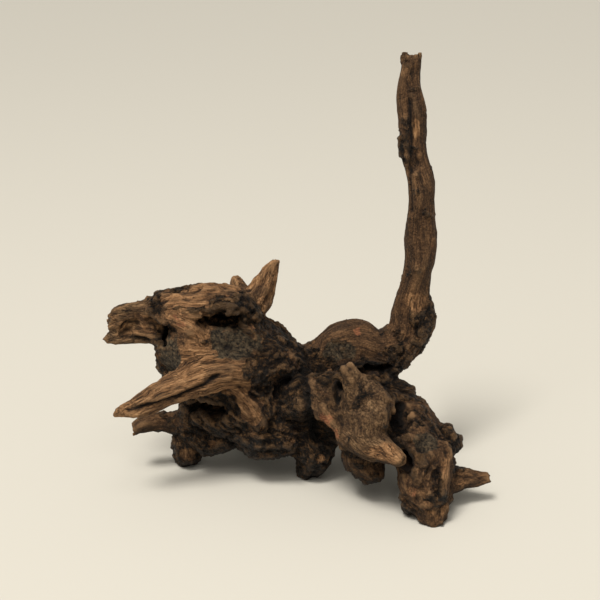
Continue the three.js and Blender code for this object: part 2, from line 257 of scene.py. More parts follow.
FINISHES = {
    "slab": GREY, "slab_upper_tine": GREY, "slab_lower_tine": GREY,
    "long_prong": PALE, "front_rib": FACE, "stump_face": FACE, "front_root": MOTTLE, "low_prong": ROD,
    "top_spike": PALE, "top_stub": PALE, "rear_prong": PALE, "right_spike": ROD,
    "branch": ROD, "branch_root": ROD, "arch_web": ROD,
    "shield_left": MOTTLE, "shield_main": SHELL, "shield_burl": SHELL, "shield_stub": GREY, "shoulder": SHELL,
    "right_lump": MOTTLE, "right_knob": CLOD, "right_rib": MOTTLE, "low_lump": MOTTLE,
    "left_leg": CLOD, "middle_foot": CLOD, "left_belly": CLOD, "right_belly": CLOD, "bark_knob": CLOD,
    "rear_ridge": MOTTLE,
}

# Broken ends: how far their splinters differ in length, mm
SPLITS = {
    "slab": 6.0, "slab_upper_tine": 6.0, "slab_lower_tine": 6.0, "long_prong": 4.0, "low_prong": 5.0,
    "top_spike": 5.0, "top_stub": 2.5, "branch": 5.0, "right_spike": 4.0, "rear_prong": 5.0,
    "shield_main": 2.0,
}
SPLINTER = 3.2  # thickness of a splinter, mm
SPLINTER_SLOPE = 0.8  # how fast the distance grows past a splinter's end

# Patches: middle and half sizes in mm, and strength
PATCHES = {
    "bare": [
        ((-82, -16, 139), (17, 14, 8), 1.0), ((-73, -20, 131), (9, 12, 8), 1.0),
        ((-75, -31, 112), (17, 14, 15), 1.0), ((-46, -38, 90), (18, 10, 8), 0.65),
        ((-33, -38, 74), (14, 10, 12), 0.65), ((-30, -34, 58), (8, 10, 9), 0.6),
        ((-66, -17, 34), (4, 7, 3), 0.6), ((-125, 0, 128), (22, 12, 10), 0.35),
        ((66, -82, 58), (15, 10, 7), 0.5),
        ((113, -77, 42), (4, 12, 18), 0.4), ((128, -56, 24), (14, 10, 5), 0.5),
        ((95, 3, 146), (11, 12, 8), 0.6),
        ((91, 17, 280), (3, 6, 9), 0.9), ((87, -86, 27), (4, 7, 5), 0.6),
        ((83, -84, 20), (4, 7, 4), 0.5), ((21, -25, 23), (9, 8, 9), 0.5),
        ((-4, -27, 43), (5, 6, 5), 0.6), ((-86, -4, 20), (10, 12, 10), 0.5),
        ((-38, -6, 131), (7, 9, 8), 0.9), ((-26, 24, 150), (14, 16, 22), 0.5),
        ((-76, -4, 152), (18, 16, 6), 0.9), ((-62, 8, 156), (38, 16, 5), 0.8),
        ((-90, -2, 150), (14, 14, 5), 0.7), ((104, -84, 12), (10, 8, 8), 0.6),
    ],
    "rust": [
        ((22, -60, 75), (6, 8, 6), 1.0), ((29, -63, 66), (5, 8, 6), 0.9),
        ((49, 6, 120), (3.5, 5, 3), 0.9), ((-85, -15, 139), (13, 12, 6), 0.6),
        ((-36, -7, 128), (5, 7, 6), 0.8), ((98, -88, 19), (4, 7, 4), 0.6),
        ((88, -87, 28), (4, 6, 4), 0.7), ((109, 14, 185), (5, 9, 30), 0.45),
        ((-51, 0, 153), (12, 12, 5), 0.5),
    ],
    "char": [
        ((-51, -18, 118), (22, 15, 18), 1.0), ((-94, -12, 105), (15, 16, 19), 1.0),
        ((36, -6, 108), (14, 12, 8), 0.7), ((98, -66, 59), (11, 11, 9), 0.9),
    ],
    "crust": [
        ((-15, -26, 80), (22, 20, 40), 1.0), ((-26, -30, 100), (20, 16, 14), 0.7),
        ((83, 20, 275), (5, 10, 26), 0.6),
        ((36, -6, 108), (17, 12, 9), 1.0), ((16, -4, 99), (18, 14, 9), 1.0),
        ((52, -8, 98), (20, 12, 5), 0.9), ((74, -4, 94), (16, 14, 7), 0.9),
        ((103, 8, 122), (9, 16, 20), 0.9), ((-50, -2, 48), (30, 30, 14), 0.8),
        ((13, -20, 20), (18, 20, 20), 0.6), ((-104, 0, 124), (7, 14, 14), 0.8),
        ((18, -48, 90), (11, 12, 12), 0.35),
        ((72, -20, 84), (22, 18, 10), 0.8), ((-50, -8, 146), (19, 15, 8), 0.9),
        ((-36, -2, 134), (10, 12, 14), 0.6), ((32, -30, 104), (20, 16, 9), 0.8),
    ],
}

# Cracks: path in mm, half width and depth in mm. Each is carved into the skin and also darkened as painted
# shade.
CRACKS = {
    "long_prong": ([
        (-51, -42, 108), (-61, -45, 104), (-68, -46, 99), (-76, -48, 95), (-84, -51, 92), (-95, -53, 88),
        (-106, -53, 85), (-118, -54, 83), (-128, -54, 80),
    ], 1.7, 3.0),
    "slab": ([
        (-147, 5, 121), (-138, 2, 127), (-130, 1, 131), (-118, 1, 131), (-110, -1, 125),
    ], 1.5, 2.4),
    "slab_low": ([(-138, 0, 119), (-123, 1, 117), (-107, 0, 115)], 1.4, 1.4),
    "slab_high": ([(-139, 2, 135), (-126, 4, 139), (-106, -4, 138)], 1.4, 1.4),
    "branch": ([
        (86, 19, 302), (87, 17, 288), (88, 16, 272), (89, 16, 257), (88, 15, 246), (89, 15, 234),
        (90, 14, 218),
    ], 1.5, 2.0),
    "crease": ([
        (6, -14, 97), (7, -45, 98), (8, -49, 88), (10, -47, 76), (13, -26, 55), (16, -27, 43),
    ], 3.5, 3.5),
    "top_spike": ([(-36, 14, 144), (-28, 22, 153), (-20, 28, 163)], 1.4, 1.2),
    "right_spike": ([(118, -60, 27), (127, -58, 26), (136, -57, 24), (143, -56, 22)], 1.4, 1.6),
    # the socket and the hollow under the stub: wide, shallow paths that mostly paint shade there
    "socket": ([(79, -29, 71), (80, -32, 63), (79, -46, 61)], 6.0, 2.0),
    "stub_hollow": ([(84, -66, 42), (88, -60, 36)], 7.0, 2.0),
    "rear_left": ([(-75, 60, 122), (-70, 67, 104), (-73, 58, 84), (-67, 57, 64), (-70, 45, 48)], 2.2, 4.0),
    "rear_middle": ([(-40, 72, 94), (-40, 66, 84), (-45, 64, 64), (-38, 62, 44)], 2.0, 4.0),
    "rear_right": ([(-15, 61, 88), (-11, 58, 70), (-18, 58, 54), (-12, 53, 42)], 2.0, 3.5),
    "rear_lump": ([(58, 28, 92), (64, 18, 78), (60, 30, 62), (66, 43, 48)], 2.0, 3.0),
    "rear_branch": ([(88, 32, 200), (97, 32, 180), (95, 30, 160), (96, 33, 140), (90, 34, 120)], 1.5, 2.0),
    # the arch: a shallow groove that paints a shadow line under the arch
    "arch": ([(31, -16, 99), (47, -11, 100), (60, -7, 98), (71, -5, 93), (79, -7, 87)], 3.0, 2.2),
}

# Carving and lumps
HOLLOW_EDGE = 4.0  # how far a hollow's rim is rounded, mm
HOLLOW_RAG = 4.0  # unevenness of a hollow's wall, mm
WALL_SIZE = 9.0  # spacing of that unevenness, mm
LUMP = 0.9  # height of the lumps for each mm of crag
LUMP_SIZE = 17.0  # spacing of the lumps, mm
LUMP_REACH = 7.0  # depth either side of the skin to which lumps are worked out, mm
BURR = 1.2  # height of the burrs' sharp ridges for each mm of crag
BURR_SIZE = 10.0  # spacing of the burrs, mm
BURR_LEVEL = 0.3  # share of that height by which the ridges stand out of the skin

# Relief: heights and sizes in mm; three sizes run along the grain, across it and deep
SWIRL = 3.0  # how far the grain wanders
SWIRL_SIZE = 22.0
STRAND_SIZE = (60, 8.5, 8.5)
FIBRE_SIZE = (26, 3.6, 3.6)
CRAG = 0.55  # height of the small crags for each mm of crag
CRAG_SIZE = 8.5
CHAR_FLAT = 0.7  # how much of the relief char burns away
BARK_PATCH = 17.0  # spacing of the gaps in the bark
BARK_THICK = 0.8
PLATE = 0.7  # height of the ridges in the bark
PLATE_SIZE = 7.0
PLATE_BEND = 0.4  # how far the ridges are bent, as a share of their size
BEND_SIZE = 9.0
FLAKE = 1.15  # height of the flakes of bark
FLAKE_SIZES = (10.0, 5.5)
FLAKE_STRETCH = (0.6, 1, 1)  # makes flakes longer along the grain
FLAKE_SHIFT = 2.0  # how far the flakes' outlines are shifted
SHIFT_SIZE = 6.0
SMALL_FLAKE = 0.6  # height of the small flakes as a share of the large ones'
PATCH_EDGE = 10.0  # size of the unevenness round a patch
SHAKE = 0.8  # how far a crack's path is shaken
SHAKE_SIZE = 5.0
FOOT = (0.2, 4.0)  # heights between which the relief grows from nothing
UNDERSIDE_SHADE = 0.75  # how dark the painted shade on the underside is
UNDERSIDE_SHADE_TOP = 70.0  # height at which the painted shade on the underside ends
FINISH_MIX = 5.0  # width over which neighbouring limbs share their finish

# Noise
DRAWS = 1024  # random directions to draw from
MIXERS = (73856093, 19349663, 83492791)  # large whole numbers that scatter neighbouring cells
SEED_MIXER = 2654435
NOISE_GAIN = 1.6  # brings noise to about -1 to 1
LAYER_GAIN = 1.4  # the same for layers of noise
LAYER_SHIFT = 17  # from one layer's seed to the next
FOLD = 3.2  # how fast folded noise falls off beside its ridges
EVEN_FALL, RIDGE_FALL, ROUGH_FALL = 0.5, 0.55, 0.65  # height of each layer as a share of the last
SEEDS = dict(
    strand=3, fibre=5, crag=9, bark=13, plate=23, lump=31, burr=37, push=41, large_flake=41, small_flake=43,
    patch=57, splinter=61,
)

# Patterns in the wood: size in mm, how many layers, and how rough they are.
GRAIN_PATTERNS = {
    "broad": ((42, 5.5, 5.5), 4, 0.6),
    "fine": ((15, 1.1, 1.1), 3, 0.7),
    "fray": ((8, 2.4, 2.4), 6, 0.7),
    "stain": ((40, 10, 10), 4, 0.65),
    "check": ((34, 3.2, 3.2), 2, 0.6),
}
SPOT_PATTERNS = {
    "speck": (3.2, 6, 0.72),
    "blotch": (9.0, 5, 0.6),
    "grit": (1.5, 2, 0.65),
}
BARK_FLAKE = (9, 4.2, 4.2)
FINE_SHARE = 0.58  # of the fine streaks among the broad ones

# Finishes' borders: how uneven, and the shares of the finish at which it begins and is full
BORDERS = {
    "grey": (1.2, 0.3, 0.75),
    "bare": (1.4, 0.35, 0.8),
    "rust": (2.4, 0.5, 1.0),
    "bark": (0.9, 0.3, 0.7),
    "char": (1.4, 0.25, 0.75),
}

# Tones, 0 to 255, each with its place along the pattern
RAMPS = {
    "tan": ((0.37, (38, 25, 15)), (0.45, (102, 73, 48)), (0.55, (150, 111, 76)), (0.66, (192, 153, 111))),
    "grey": ((0.4, (30, 23, 16)), (0.5, (86, 65, 45)), (0.6, (142, 113, 82))),
    "brown": ((0.4, (32, 22, 14)), (0.5, (78, 56, 37)), (0.6, (124, 92, 63))),
    "rust": ((0.38, (84, 50, 33)), (0.6, (166, 108, 76))),
    "bark": ((0.42, (12, 7, 3)), (0.49, (35, 24, 13)), (0.54, (74, 53, 32)), (0.61, (116, 88, 61))),
    "char": ((0.4, (20, 17, 13)), (0.6, (84, 73, 57))),
}
STAIN_TONE = (46, 34, 26)
SEAM_TONE = (11, 8, 6)
# dark tone for real dirt specks, and for painted shade in hollows, in cracks and on the underside
DIRT_AND_SHADE_TONE = (14, 9, 5)
CHIP_TONE = (158, 122, 86)
CHECK_TONE = (20, 14, 9)
# pale tone laid on standing ridges: partly wear, partly a painted highlight
WEAR_AND_HIGHLIGHT_TONE = (170, 132, 94)
# dark tone laid in crevices as painted shade
CREVICE_SHADE_TONE = (20, 12, 6)

BUMP = 2.6  # height of the finest relief, mm
WOOD_ROUGHNESS, BARK_ROUGHNESS = 0.8, 0.5
SHINE = 0.25

# Stage
FLOOR_SIZE = 300.0
FLOOR_COLOUR = (0.565, 0.545, 0.487, 1)
FLOOR_ROUGHNESS = 0.95
LIGHT_COLOUR = (1.0, 0.96, 0.9)
LIGHT_TARGET = (0.0, 0.0, 0.1)
SUN_PLACE = (-1.5, -2.0, 5.2)  # the way the main light comes from
SUN_SPREAD = 16.0  # degrees
SUN_STRENGTH = 2.5
FRONT_PLACE = (-0.3, -1.0, 2.0)
FRONT_SIZE = 1.6
FRONT_POWER = 26.0
SKY_COLOUR = (1.0, 0.96, 0.88, 1)
SKY_STRENGTH = 0.38
CAMERA_LENS = 73.08  # mm
CAMERA_SENSOR = 36.0  # mm
CAMERA_PLACE = (0.0035, -0.8927, 0.4742)
CAMERA_DOWN = 20.0  # degrees below level


class Limb:
    """One limb: its middle line, a smooth curve through its stations, and the frame of its oval section."""

    def __init__(self, name, seed):
        self.gnarl, facing, stations = LIMBS[name]
        self.name = name
        self.seed = seed
        self.finish = FINISHES.get(name, CRUST)
        self.split = SPLITS.get(name, 0)
        rows = np.array(stations, float)
        chord = np.linalg.norm(np.diff(rows[:, :3], axis=0), axis=1).sum()
        count = max(FEWEST_SAMPLES, int(chord / SAMPLE))
        curve = smooth_curve(rows, count)
        self.centre = curve[:, :3]
        self.half = np.maximum(curve[:, 3:5], THINNEST)
        tangent = np.gradient(self.centre, axis=0)
        self.tangent = unit(tangent)
        depth = np.array(facing) - self.tangent * (self.tangent @ np.array(facing))[:, None]
        self.depth_way = unit(depth)
        self.width_way = np.cross(self.depth_way, self.tangent)
        length = np.linalg.norm(np.diff(self.centre, axis=0), axis=1).sum()
        self.along = np.linspace(0, length, count)
        self.spacing = length / (count - 1)
        reach = self.half.max() + self.gnarl + REACH
        self.low = self.centre.min(0) - reach
        self.high = self.centre.max(0) + reach

    def near(self, points):
        """Which points lie in the limb's box."""
        return ((points > self.low) & (points < self.high)).all(1)

    def measure(self, points):
        """Signed distance to the limb's skin, and the place in the limb laid out straight.

        The distance is an oval's, with the place across and deep in the section and the way past the end. The
        place is along the middle line, across and deep. A broken end is cut off where each splinter stops.
        """
        nearest = nearest_sample(points, self.centre)
        offset = points - self.centre[nearest]
        ahead = (offset * self.tangent[nearest]).sum(1)
        across = (offset * self.width_way[nearest]).sum(1)
        deep = (offset * self.depth_way[nearest]).sum(1)
        last = len(self.centre) - 1
        beyond = np.where(nearest == 0, np.maximum(-ahead, 0), 0)
        beyond = beyond + np.where(nearest == last, np.maximum(ahead, 0), 0)
        step = np.clip(ahead, -self.spacing, self.spacing)
        along = self.along[nearest] + step
        share = np.clip(along / self.along[-1], 0, 1) * last
        half = np.stack([np.interp(share, np.arange(last + 1), self.half[:, i]) for i in (0, 1)], 1)
        angle = np.arctan2(deep * half[:, 0], across * half[:, 1])
        half = np.maximum(half + (self.gnarl * wave_height(angle, along, self.seed))[:, None], THINNEST)
        dome = END_DOME * np.maximum(half.min(1), THINNEST)
        place = np.stack([across, deep, beyond], 1)
        size = np.column_stack([half, dome])
        distance = oval_distance(place, size)
        if self.split:
            column = np.stack([across / SPLINTER, deep / SPLINTER, np.full(len(points), 0.5 + self.seed)], 1)
            stop = self.along[-1] + 1 - self.split * (0.4 + noise(column, SEEDS["splinter"]))
            distance = np.maximum(distance, SPLINTER_SLOPE * (self.along[nearest] + ahead - stop))
        return distance, np.stack([along, across, deep], 1)


def unit(vectors):
    """Each row over its length."""
    return vectors / np.maximum(np.linalg.norm(vectors, axis=1, keepdims=True), 1e-9)


def smooth_curve(rows, count):
    """A smooth curve through the rows, read at even steps: each stretch is the cubic whose slope at a row is
    half the way from the row before to the row after."""
    padded = np.vstack([2 * rows[0] - rows[1], rows, 2 * rows[-1] - rows[-2]])
    t = np.linspace(0, len(rows) - 1, count)
    i = np.minimum(t.astype(int), len(rows) - 2)
    u = (t - i)[:, None]
    p0, p1, p2, p3 = (padded[i + k] for k in range(4))
    slope = (p2 - p0) * u
    bend = (2 * p0 - 5 * p1 + 4 * p2 - p3) * u**2
    twist = (3 * p1 - p0 - 3 * p2 + p3) * u**3
    return 0.5 * (2 * p1 + slope + bend + twist)


def nearest_sample(points, centre):
    """Index of the nearest sample of a middle line, worked out in blocks of points."""
    nearest = np.empty(len(points), int)
    square = (centre**2).sum(1)
    for start in range(0, len(points), BLOCK):
        part = points[start:start + BLOCK]
        nearest[start:start + BLOCK] = (square - 2 * part @ centre.T).argmin(1)
    return nearest


def wave_height(angle, along, seed):
    """Sum of sine flutes that run round and along a limb."""
    return sum(
        share * np.sin(turns * angle + along / length + seed * (i + 1))
        for i, (turns, length, share) in enumerate(WAVES)
    )


def knot_push(points):
    """The knots' sideways push: a few slow sine swells over the whole root."""
    push = np.zeros_like(points)
    for i, (run, way, length, height) in enumerate(KNOTS):
        swell = height * np.sin(points @ np.array(run) / length + i)
        push += swell[:, None] * np.array(way)
    return push


def unknotted(points):
    """Where a point of the knotted root lies in the smooth one: the push is undone by repeated guess."""
    smooth = points
    for _ in range(3):
        smooth = points - knot_push(smooth)
    return smooth


RNG = np.random.default_rng(SEED)
LATTICE_WAYS = unit(RNG.normal(size=(DRAWS, 3)))


def lattice_draw(cell, seed):
    """A fixed random row number for each lattice cell, from a mix of its three whole numbers."""
    mix = cell[:, 0] * MIXERS[0] ^ cell[:, 1] * MIXERS[1] ^ cell[:, 2] * MIXERS[2] ^ seed * SEED_MIXER
    return (mix ^ (mix >> 13)) % DRAWS


def noise(points, seed):
    """Gradient noise, about -1 to 1: a random slope at each lattice corner, faded smoothly between them."""
    cell = np.floor(points).astype(np.int64)
    frac = points - cell
    fade = frac**3 * (frac * (frac * 6 - 15) + 10)
    total = np.zeros(len(points))
    for corner in np.ndindex(2, 2, 2):
        way = LATTICE_WAYS[lattice_draw(cell + corner, seed)]
        weight = np.where(corner, fade, 1 - fade).prod(1)
        total += weight * ((frac - corner) * way).sum(1)
    return total * NOISE_GAIN


def folded(points, seed):
    """Noise folded at nought, which makes a sharp ridge there."""
    return 1 - FOLD * np.abs(noise(points, seed))


def layered(points, seed, layers, fall=EVEN_FALL, kind=noise):
    """Layers of a kind of noise, each twice as fine as the last and fall times as high."""
    heights = fall ** np.arange(layers)
    total = sum(h * kind(points * 2.0**i, seed + LAYER_SHIFT * i) for i, h in enumerate(heights))
    return total / heights.sum() * LAYER_GAIN


def noise_ways(points):
    """Three noises side by side, as a push."""
    return np.stack([noise(points, SEEDS["push"] + i) for i in range(3)], 1)


def flaked(points, seed):
    """Height, -1 to 1, of the flake that each point lies in.

    One point is strewn in each cell, and the nearest one's draw is the height.
    """
    cell = np.floor(points).astype(np.int64)
    best = np.full(len(points), np.inf)
    height = np.zeros(len(points))
    for side in np.ndindex(3, 3, 3):
        corner = cell + np.array(side) - 1
        draw = lattice_draw(corner, seed)
        gap = ((corner + 0.5 + 0.5 * LATTICE_WAYS[draw] - points) ** 2).sum(1)
        closer = gap < best
        best = np.where(closer, gap, best)
        height = np.where(closer, 2 * draw / (DRAWS - 1) - 1, height)
    return height


def melt(one, other, width):
    """The lesser of two distances, rounded over a width where they are alike."""
    overlap = np.maximum(width - np.abs(one - other), 0) / width
    return np.minimum(one, other) - overlap**2 * width / 4


def oval_distance(place, size):
    """Signed distance to an oval of the given half sizes: with q the root of the sum of (place / size)
    squared, it is (q - 1) over the steepness of q."""
    q = np.sqrt(((place / size) ** 2).sum(1))
    steep = np.sqrt(((place / size**2) ** 2).sum(1))
    return (q - 1) * np.maximum(q, TINY) / np.maximum(steep, TINY / size.max(-1))


def root_lattice(limbs):
    """Signed distance to the root on a lattice, and the lattice's first corner.

    The limbs are melted together, the hollows are carved out of them, lumps are added, and the floor trims
    the feet.
    """
    low = np.min([limb.low for limb in limbs], 0) + REACH - MARGIN
    high = np.max([limb.high for limb in limbs], 0) - REACH + MARGIN
    low[2] = -MARGIN
    axes = [np.arange(low[i], high[i], STEP) for i in range(3)]
    field = np.full([len(a) for a in axes], FAR)
    crag = np.zeros(field.shape)
    for limb in limbs:
        span = lattice_span(axes, limb.low, limb.high)
        distance = limb.measure(unknotted(lattice_points(axes, span)))[0].reshape(field[span].shape)
        crag[span] = np.where(distance < field[span], limb.finish["crag"], crag[span])
        field[span] = melt(field[span], distance, limb.finish["merge"])
    for middle, half in HOLLOWS.values():
        carve_hollow(field, axes, np.array(middle), np.array(half, float))
    add_lumps(field, axes, crag)
    field = np.maximum(field, -axes[2])
    return field, np.array([a[0] for a in axes])


def lattice_span(axes, low, high):
    """The block of the lattice that lies in a box."""
    return tuple(slice(*np.searchsorted(axes[i], (low[i], high[i]))) for i in range(3))


def lattice_points(axes, span):
    """The places of a block of the lattice, one row each."""
    return np.stack(np.meshgrid(*(axes[i][span[i]] for i in range(3)), indexing="ij"), -1).reshape(-1, 3)


def carve_hollow(field, axes, middle, half):
    """An oval with an uneven wall taken out of the root, its rim rounded."""
    reach = half + HOLLOW_EDGE
    span = lattice_span(axes, middle - reach, middle + reach)
    points = lattice_points(axes, span)
    carve = oval_distance(points + HOLLOW_RAG * noise_ways(points / WALL_SIZE) - middle, half)
    field[span] = -melt(-field[span], carve.reshape(field[span].shape), HOLLOW_EDGE)


def add_lumps(field, axes, crag):
    """Round lumps and sharp burrs: noise times the crag height, added to the distance near the skin."""
    near = np.abs(field) < LUMP_REACH
    points = np.stack([axes[i][n] for i, n in enumerate(np.nonzero(near))], 1)
    lumps = LUMP * layered(points / LUMP_SIZE, SEEDS["lump"], 3)
    burrs = BURR * (np.abs(noise(points / BURR_SIZE, SEEDS["burr"])) - BURR_LEVEL)
    field[near] += crag[near] * (lumps + burrs)


def skin_of(field, low):
    """Quads over the lattice's zero level: one corner in each crossed cell, at the mean of its crossings,
    and one quad round each crossed lattice edge."""
    inside = field < 0
    shape = np.array(field.shape)
    total = int(shape.prod())
    stride = np.array([shape[1] * shape[2], shape[2], 1])
    sums = np.zeros((total, 3))
    counts = np.zeros(total)
    quads = []
    for axis in range(3):
        first = [slice(None)] * 3
        second = [slice(None)] * 3
        first[axis], second[axis] = slice(0, -1), slice(1, None)
        start = np.argwhere(inside[tuple(first)] != inside[tuple(second)])
        one, two = (axis + 1) % 3, (axis + 2) % 3
        kept = (start[:, one] > 0) & (start[:, two] > 0)
        start = start[kept]
        flat = start @ stride
        here, there = field.ravel()[flat], field.ravel()[flat + stride[axis]]
        crossing = start.astype(float)
        crossing[:, axis] += here / (here - there)
        around = [flat - i * stride[one] - j * stride[two] for i, j in ((0, 0), (1, 0), (1, 1), (0, 1))]
        for cell in around:
            counts += np.bincount(cell, minlength=total)
            for i in range(3):
                sums[:, i] += np.bincount(cell, crossing[:, i], minlength=total)
        quad = np.stack(around, 1)
        turned = here > 0
        quad[turned] = quad[turned][:, ::-1]
        quads.append(quad)
    used = np.nonzero(counts)[0]
    number = np.zeros(total, int)
    number[used] = np.arange(len(used))
    corners = sums[used] / counts[used][:, None] * STEP + low
    return corners, number[np.vstack(quads)]


def read_lattice(field, low, points):
    """The lattice read at any points, mixing the eight values round each."""
    place = np.clip((points - low) / STEP, 0, np.array(field.shape) - 1.001)
    cell = place.astype(int)
    frac = place - cell
    value = np.zeros(len(points))
    for corner in np.ndindex(2, 2, 2):
        i, j, k = (cell + corner).T
        value += np.where(corner, frac, 1 - frac).prod(1) * field[i, j, k]
    return value


def slope_of(field, low, points):
    """Outward direction of the lattice at points, from its change over a step each way."""
    ways = np.eye(3) * STEP
    change = [read_lattice(field, low, points + w) - read_lattice(field, low, points - w) for w in ways]
    return np.stack(change, 1) / (2 * STEP)


class Neighbours:
    """Which corners of the skin are joined by an edge, for smoothing values over it."""

    def __init__(self, quads, count):
        pairs = np.vstack([quads[:, [i, (i + 1) % 4]] for i in range(4)])
        pairs = np.unique(np.sort(pairs, 1), axis=0)
        self.a = np.concatenate([pairs[:, 0], pairs[:, 1]])
        self.b = np.concatenate([pairs[:, 1], pairs[:, 0]])
        self.count = count
        self.ways = np.maximum(np.bincount(self.a, minlength=count), 1)

    def mean(self, values):
        """Mean of a value over each corner's neighbours."""
        columns = values.reshape(self.count, -1).T
        sums = [np.bincount(self.a, c[self.b], minlength=self.count) for c in columns]
        return (np.stack(sums, 1) / self.ways[:, None]).reshape(values.shape)

    def smooth(self, values, rounds):
        """A value mixed half and half with its neighbours' mean, round after round."""
        for _ in range(rounds):
            values = 0.5 * values + 0.5 * self.mean(values)
        return values


def relaxed(corners, neighbours, field, low):
    """Corners evened out over the skin, and set back on the zero level after each round."""
    for _ in range(RELAX_ROUNDS):
        corners = 0.5 * corners + 0.5 * neighbours.mean(corners)
        slope = slope_of(field, low, corners)
        steep = np.maximum((slope**2).sum(1), 0.1)
        push = np.clip(read_lattice(field, low, corners) / steep, -STEP, STEP)
        corners = corners - slope * push[:, None]
    return corners


def corner_normals(corners, quads):
    """Mean outward direction of the quads round each corner, weighted by their size."""
    across = corners[quads[:, 2]] - corners[quads[:, 0]]
    other = corners[quads[:, 3]] - corners[quads[:, 1]]
    face = np.cross(across, other)
    total = np.zeros_like(corners)
    for i in range(4):
        for k in range(3):
            total[:, k] += np.bincount(quads[:, i], face[:, k], minlength=len(corners))
    return unit(total)


def limb_shares(limbs, corners):
    """For each corner: the nearest limb's straight coordinates, and every finish value mixed by nearness."""
    smooth = unknotted(corners)
    best = np.full(len(corners), np.inf)
    grain = np.zeros((len(corners), 3))
    weight = np.zeros(len(corners))
    mixed = np.zeros((len(corners), len(RELIEF_AND_COLOUR)))
    for limb in limbs:
        near = np.nonzero(limb.near(smooth))[0]
        distance, place = limb.measure(smooth[near])
        share = np.exp(-np.clip(distance, -10, 40) / FINISH_MIX)
        weight[near] += share
        mixed[near] += share[:, None] * np.array([limb.finish[name] for name in RELIEF_AND_COLOUR])
        closer = distance < best[near]
        best[near[closer]] = distance[closer]
        place[:, 0] += GRAIN_SHIFT * limb.seed
        grain[near[closer]] = place[closer]
    values = mixed / weight[:, None]
    return grain, dict(zip(RELIEF_AND_COLOUR, values.T))


def soft_step(value, low, high):
    """0 below low, 1 above high, and a smooth rise between."""
    t = np.clip((value - low) / (high - low), 0, 1)
    return t * t * (3 - 2 * t)


def shelter(field, low, corners, normals):
    """How enclosed each corner is, 0 to 1: how far the open distance falls short of the way out."""
    short = [np.clip(1 - read_lattice(field, low, corners + normals * d) / d, 0, 1) for d in SHELTER_DEPTHS]
    return sum(short) / len(SHELTER_DEPTHS)


def path_nearness(points, path, width):
    """1 on a path through the given points, falling off as a bell of the given width."""
    rows = smooth_curve(np.array(path, float), 12 * len(path))
    near = ((points > rows.min(0) - 4 * width) & (points < rows.max(0) + 4 * width)).all(1)
    value = np.zeros(len(points))
    part = points[near]
    gap = np.linalg.norm(part - rows[nearest_sample(part, rows)], axis=1)
    value[near] = np.exp(-((gap / width) ** 2))
    return value


def patch_share(points, kind):
    """How much of a kind of patch covers each point: the strongest of its eggs, with a soft, uneven edge."""
    uneven = 0.6 * layered(points / PATCH_EDGE, SEEDS["patch"], 4, ROUGH_FALL)
    share = np.zeros(len(points))
    for middle, half, strength in PATCHES[kind]:
        place = np.linalg.norm((points - np.array(middle)) / np.array(half, float), axis=1)
        share = np.maximum(share, strength * soft_step(-place - uneven, -1.25, -0.7))
    return share


def bark_cover(corners, finish, patches):
    """Where bark lies, 0 to 1: the finish's share plus noise, with less on bare patches and more on crust."""
    bark = finish["bark"] + 0.6 * layered(corners / BARK_PATCH, SEEDS["bark"], 5, ROUGH_FALL)
    bark -= 0.8 * (patches["bare"] + patches["rust"])
    bark += 0.5 * (patches["crust"] - patches["char"])
    return soft_step(bark, 0.32, 0.62)


def bark_height(corners, swirl):
    """Height of the bark in mm: a sheet with sharp ridges, and with flakes of two sizes, longer along the
    grain."""
    bent = corners / PLATE_SIZE + PLATE_BEND * noise_ways(corners / BEND_SIZE)
    plate = layered(bent, SEEDS["plate"], 3, RIDGE_FALL, folded)
    shifted = swirl * FLAKE_STRETCH + FLAKE_SHIFT * noise_ways(corners / SHIFT_SIZE)
    large, small = (shifted / size for size in FLAKE_SIZES)
    flakes = flaked(large, SEEDS["large_flake"]) + SMALL_FLAKE * flaked(small, SEEDS["small_flake"])
    return BARK_THICK + PLATE * plate + FLAKE * flakes


def crack_depth(corners):
    """Depth of the cracks in mm: the deepest of the bells about their shaken paths."""
    shaken = corners + SHAKE * noise_ways(corners / SHAKE_SIZE)
    depth = np.zeros(len(corners))
    for path, width, deepest in CRACKS.values():
        depth = np.maximum(depth, deepest * path_nearness(shaken, path, width))
    return depth


def underside_shade_share(normals, heights):
    """Painted shade on the underside: more as the skin turns down and nears the floor."""
    return UNDERSIDE_SHADE * soft_step(-normals[:, 2], -0.25, 0.6) * soft_step(-heights, -UNDERSIDE_SHADE_TOP, -UNDERSIDE_SHADE_TOP / 2)


